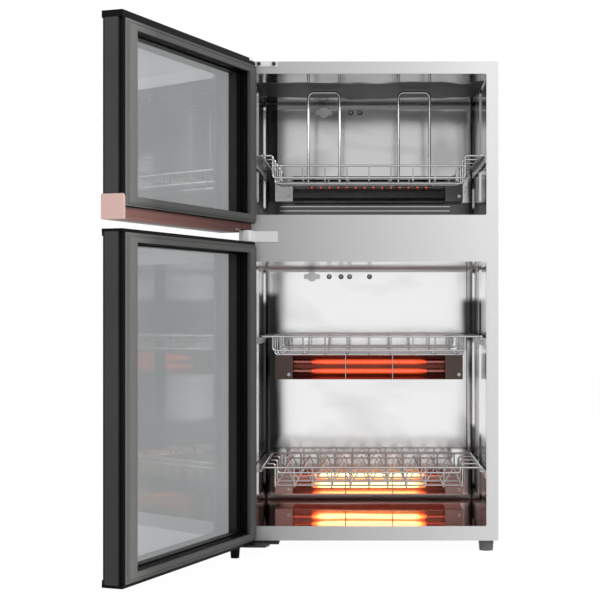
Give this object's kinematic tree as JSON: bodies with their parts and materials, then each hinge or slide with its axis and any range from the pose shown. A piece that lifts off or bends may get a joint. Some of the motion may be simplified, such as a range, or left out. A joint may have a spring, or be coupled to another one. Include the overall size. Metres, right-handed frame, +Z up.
{
  "type": "dish sterilizer cabinet",
  "caption": "Free-standing dish sterilizer cabinet with left-hinged glass doors, stainless steel compartments, pull-out wire racks and quartz heating tubes.",
  "frame": {"origin": "on the floor, under the middle of the body's footprint without the doors", "axes": "+X to the right seen from the front, +Y from the doors to the back, +Z up; the open doors swing out to -Y on the left"},
  "size_m": [0.5713, 0.7776, 0.795],
  "materials": {
    "casing_paint": "satin silver-grey paint",
    "face_paint": "satin silver-grey paint",
    "rear_sheet": "matt galvanised grey",
    "liner_steel": "polished stainless steel, near mirror",
    "heater_steel": "bright stainless sheet",
    "quartz": "clear quartz",
    "heating_coil": "glowing resistance wire",
    "chrome_wire": "bright chrome plating",
    "door_frame_plastic": "dark grey satin plastic",
    "door_liner_plastic": "near-black satin plastic",
    "gasket_rubber": "grey soft seal",
    "door_glass": "dark tinted tempered glass",
    "cap_plastic": "black satin plastic",
    "trim_rose": "rose-gold anodised",
    "trim_end_pink": "light pink gloss",
    "hinge_white": "white-silver zinc finish",
    "hinge_dark": "black paint",
    "pin_steel": "turned steel",
    "screw_steel": "zinc-plated steel",
    "foot_rubber": "ribbed dark grey rubber",
    "switch_metal": "satin aluminium",
    "board_laminate": "green laminate",
    "ozone_plastic": "white satin plastic",
    "gland_plastic": "black satin plastic"
  },
  "bodies": {
    "cabinet": {"casing": "casing_paint", "face_frame": "face_paint", "base_plate": "rear_sheet", "rear_cover": "rear_sheet", "upper_liner": "liner_steel", "lower_liner": "liner_steel", "control_board": "board_laminate", "ozone_generator": "ozone_plastic", "cord_inlet": "gland_plastic", "feet": "foot_rubber", "upper_heater_reflector": "heater_steel", "upper_heater_brackets": "heater_steel", "upper_heater_tubes": "quartz", "upper_heater_coils": "heating_coil", "middle_heater_reflector": "heater_steel", "middle_heater_brackets": "heater_steel", "middle_heater_tubes": "quartz", "middle_heater_coils": "heating_coil", "middle_heater_guards": "chrome_wire", "lower_heater_reflector": "heater_steel", "lower_heater_brackets": "heater_steel", "lower_heater_tubes": "quartz", "lower_heater_coils": "heating_coil", "lower_heater_guards": "chrome_wire", "heater_screws": "screw_steel", "upper_thermostat": "switch_metal", "lower_thermostat": "switch_metal", "upper_rack_supports": "heater_steel", "bowl_rack_supports": "heater_steel", "plate_rack_supports": "heater_steel", "top_hinge_bracket": "hinge_white", "middle_hinge_bracket": "hinge_white", "bottom_hinge_bracket": "hinge_dark", "hinge_pins": "pin_steel", "hinge_screws": "screw_steel"},
    "upper_door": {"upper_door_frame": "door_frame_plastic", "upper_door_inner_frame": "door_liner_plastic", "upper_door_gasket": "gasket_rubber", "upper_door_glass": "door_glass", "upper_door_top_cap": "cap_plastic", "upper_door_trim": "trim_rose", "upper_door_trim_hinge_end": "trim_rose", "upper_door_trim_free_end": "trim_end_pink"},
    "lower_door": {"lower_door_frame": "door_frame_plastic", "lower_door_inner_frame": "door_liner_plastic", "lower_door_gasket": "gasket_rubber", "lower_door_glass": "door_glass", "lower_door_bottom_cap": "cap_plastic", "lower_door_top_cap": "cap_plastic", "lower_door_foot": "cap_plastic"},
    "upper_rack": {"upper_rack_rails": "chrome_wire", "upper_rack_cradles": "chrome_wire", "upper_rack_wires": "chrome_wire"},
    "bowl_rack": {"bowl_rack_rails": "chrome_wire", "bowl_rack_cradles": "chrome_wire", "bowl_rack_wires": "chrome_wire"},
    "plate_rack": {"plate_rack_rails": "chrome_wire", "plate_rack_cradles": "chrome_wire", "plate_rack_wires": "chrome_wire", "plate_rack_dividers": "chrome_wire"}
  },
  "joints": [
    {"name": "upper_door_hinge", "type": "hinge", "parent": "cabinet", "child": "upper_door", "pos_m": [-0.198, -0.2005, 0.65], "axis": [0, 0, -1], "range_deg": [-110.7, 0]},
    {"name": "lower_door_hinge", "type": "hinge", "parent": "cabinet", "child": "lower_door", "pos_m": [-0.198, -0.2005, 0.26], "axis": [0, 0, -1], "range_deg": [-110.7, 0]},
    {"name": "upper_rack_slide", "type": "slide", "parent": "cabinet", "child": "upper_rack", "axis": [0, -1, 0], "range_m": [0, 0.18]},
    {"name": "bowl_rack_slide", "type": "slide", "parent": "cabinet", "child": "bowl_rack", "axis": [0, -1, 0], "range_m": [0, 0.18]},
    {"name": "plate_rack_slide", "type": "slide", "parent": "cabinet", "child": "plate_rack", "axis": [0, -1, 0], "range_m": [0, 0.18]}
  ]
}
